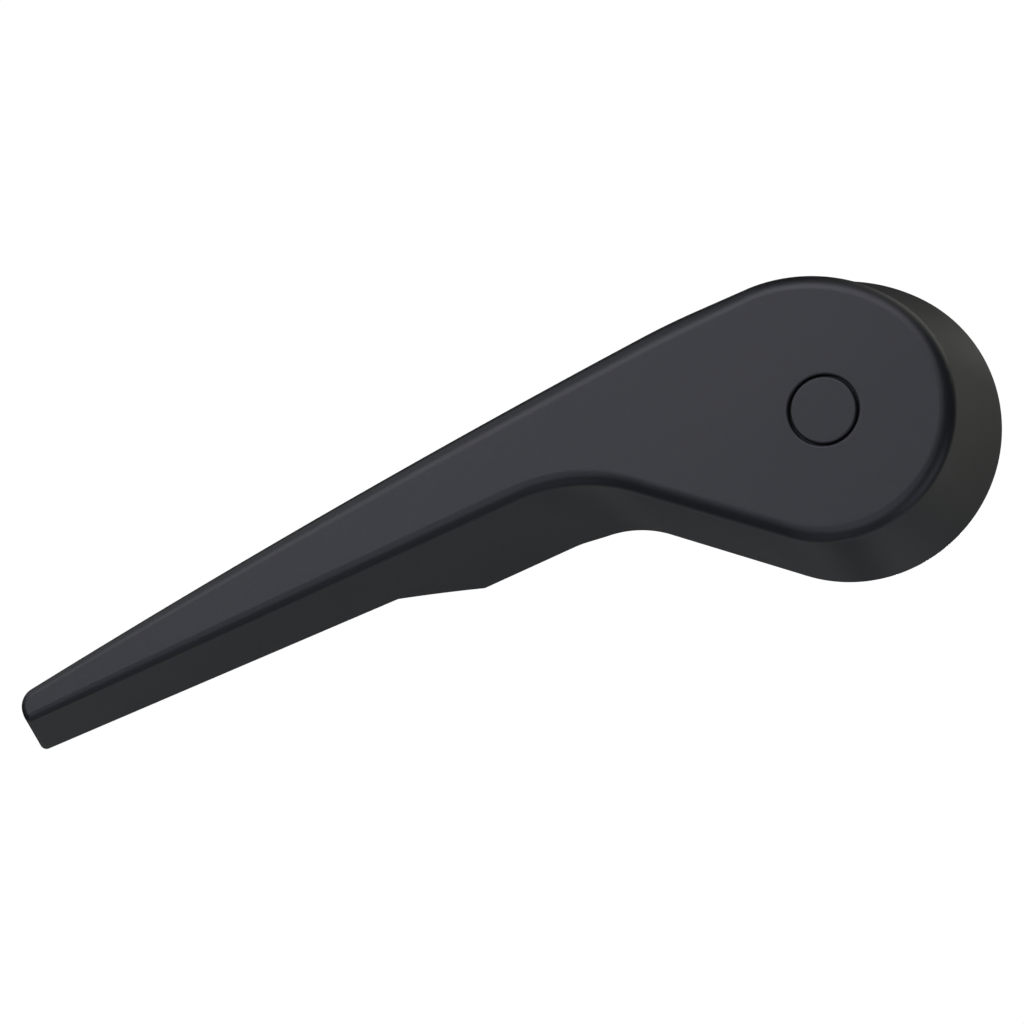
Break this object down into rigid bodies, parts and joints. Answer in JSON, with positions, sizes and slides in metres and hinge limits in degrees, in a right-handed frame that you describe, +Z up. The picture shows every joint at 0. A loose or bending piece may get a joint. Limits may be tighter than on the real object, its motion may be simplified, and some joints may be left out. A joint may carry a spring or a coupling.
{
  "type": "recliner pull handle",
  "caption": "Long drooping lever handle, moulded in black plastic, hollow and ribbed behind, whose round hub fits over a square drive rod under a snap-in screw cover",
  "frame": {"origin": "on the drive rod's axis, level with the hub's back rim, at the mouth of the square socket", "axes": "X to the right and Z up as the face is seen in use, Y back along the rod into the chair; the face looks along -Y and the arm droops to the lower left"},
  "size_m": [0.2497, 0.038, 0.1142],
  "materials": {
    "body_plastic": "fine moulded texture, matte",
    "cap_plastic": "fine moulded texture, matte",
    "zinc_steel": "bright zinc plating"
  },
  "bodies": {
    "root": {"handle_body": "body_plastic", "screw_cap": "cap_plastic", "fixing_screw": "zinc_steel", "washer": "zinc_steel"}
  },
  "joints": []
}
